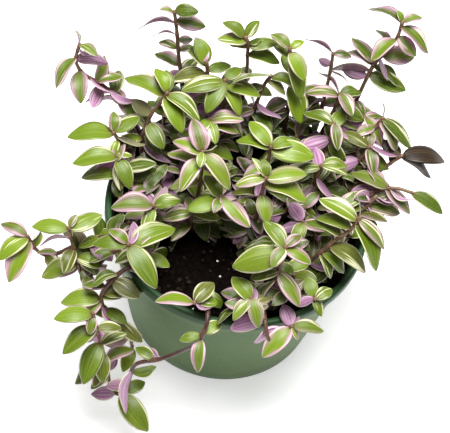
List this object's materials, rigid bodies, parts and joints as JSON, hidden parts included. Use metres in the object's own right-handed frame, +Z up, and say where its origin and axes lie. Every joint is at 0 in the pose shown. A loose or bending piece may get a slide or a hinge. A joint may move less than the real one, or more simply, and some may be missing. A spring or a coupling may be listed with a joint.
{
  "type": "potted turtle vine",
  "caption": "Bushy turtle vine with small striped leaves on branching stems, growing over the rim of a plain green nursery pot.",
  "frame": {"origin": "centre of the pot's foot, on the surface that the pot stands on", "axes": "+Z up along the pot's axis, +Y towards the taller back of the plant, +X to the plant's right"},
  "size_m": [0.251, 0.178, 0.1937],
  "materials": {
    "pot": "satin",
    "soil": "rough",
    "stem": "satin",
    "leaf": "satin"
  },
  "bodies": {
    "root": {"pot": "pot", "soil": "soil", "stems_left_back": "stem", "stems_left_wall": "stem", "stems_left_edge": "stem", "stems_front_edge": "stem", "stems_front": "stem", "stems_right_front": "stem", "stems_right_wall": "stem", "stems_right_back": "stem", "stems_back_right": "stem", "stems_slim": "stem", "stems_right_middle": "stem", "stems_back_bright": "stem", "stems_back_centre": "stem", "stems_back_left": "stem", "stems_back_middle": "stem", "stems_left_centre": "stem", "stems_centre": "stem", "leaves_sprig": "leaf", "leaves_left_high": "leaf", "leaves_left_low": "leaf", "leaves_left_middle": "leaf", "leaves_left_inner": "leaf", "leaves_left_front": "leaf", "leaves_trailer_upper": "leaf", "leaves_trailer_middle": "leaf", "leaves_trailer_rim": "leaf", "leaves_trailer_long": "leaf", "leaves_front_left": "leaf", "leaves_front_centre": "leaf", "leaves_front_right": "leaf", "leaves_front_middle": "leaf", "leaves_right_front": "leaf", "leaves_front_right_inner": "leaf", "leaves_centre_right": "leaf", "leaves_right_dark": "leaf", "leaves_right_reach": "leaf", "leaves_right_low": "leaf", "leaves_right_back": "leaf", "leaves_right_thicket": "leaf", "leaves_tall_right": "leaf", "leaves_back_thicket": "leaf", "leaves_slim_sprig": "leaf", "leaves_thicket_high": "leaf", "leaves_thicket_middle": "leaf", "leaves_thicket_low": "leaf", "leaves_back_bright": "leaf", "leaves_back_centre": "leaf", "leaves_back_inner": "leaf", "leaves_tall_left": "leaf", "leaves_tall_inner": "leaf", "leaves_back_middle": "leaf", "leaves_middle": "leaf", "leaves_left_tall": "leaf", "leaves_low_inner": "leaf", "leaves_centre_front": "leaf", "leaves_centre_left": "leaf", "leaves_centre_back": "leaf"}
  },
  "joints": []
}
